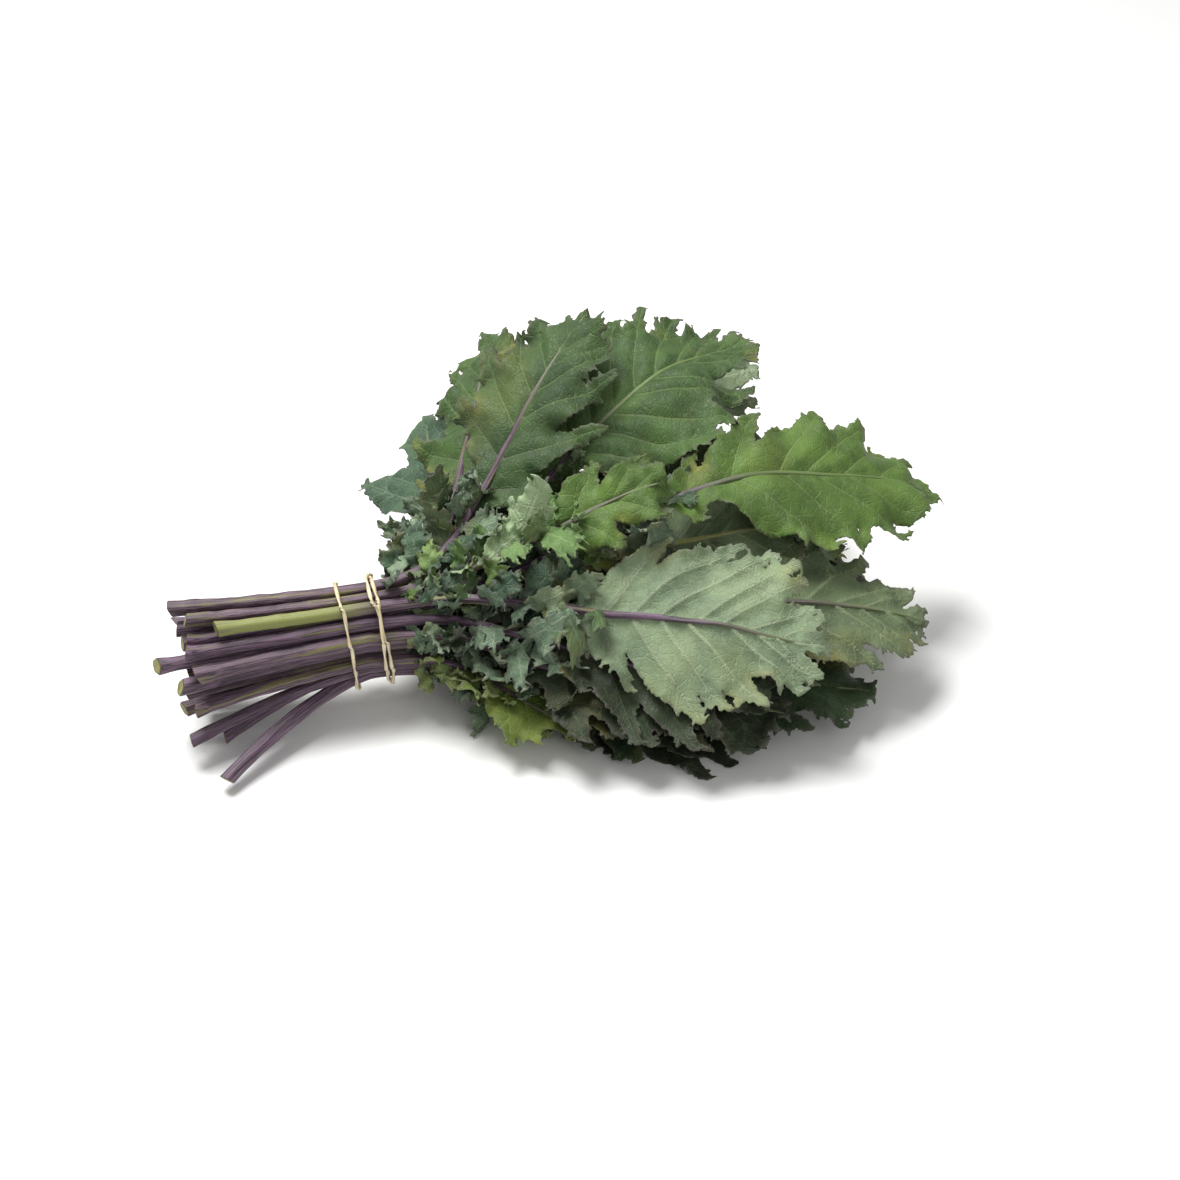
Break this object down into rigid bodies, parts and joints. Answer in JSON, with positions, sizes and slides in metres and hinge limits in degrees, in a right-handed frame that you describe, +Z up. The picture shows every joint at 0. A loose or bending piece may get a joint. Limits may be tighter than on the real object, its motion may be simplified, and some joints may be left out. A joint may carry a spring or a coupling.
{
  "type": "purple kale bunch",
  "caption": "Bunch of purple kale lying on its side: fringed, ruffled leaves on long purple stalks, held at the neck by a rubber band and fanning into a leafy mound.",
  "frame": {"origin": "on the surface that the bunch lies on, under the middle of its box", "axes": "+Z up, +X from the cut ends of the stalks to the leaf tips, +Y to the back, away from the picture's viewer"},
  "size_m": [0.3984, 0.275, 0.1526],
  "materials": {
    "leaf": "fresh kale leaf, semi-matt: green upper side, pale grey-green underside, purple stalk and midrib",
    "band": "plain natural rubber, satin"
  },
  "bodies": {
    "root": {"leaf_01": "leaf", "leaf_02": "leaf", "leaf_03": "leaf", "leaf_04": "leaf", "leaf_05": "leaf", "leaf_06": "leaf", "leaf_07": "leaf", "leaf_08": "leaf", "leaf_09": "leaf", "leaf_10": "leaf", "leaf_11": "leaf", "leaf_12": "leaf", "leaf_13": "leaf", "leaf_14": "leaf", "leaf_15": "leaf", "leaf_16": "leaf", "leaf_17": "leaf", "leaf_18": "leaf", "leaf_19": "leaf", "leaf_20": "leaf", "leaf_21": "leaf", "leaf_22": "leaf", "leaf_23": "leaf", "leaf_24": "leaf", "leaf_25": "leaf", "leaf_26": "leaf", "leaf_27": "leaf", "leaf_28": "leaf", "rubber_band": "band"}
  },
  "joints": []
}
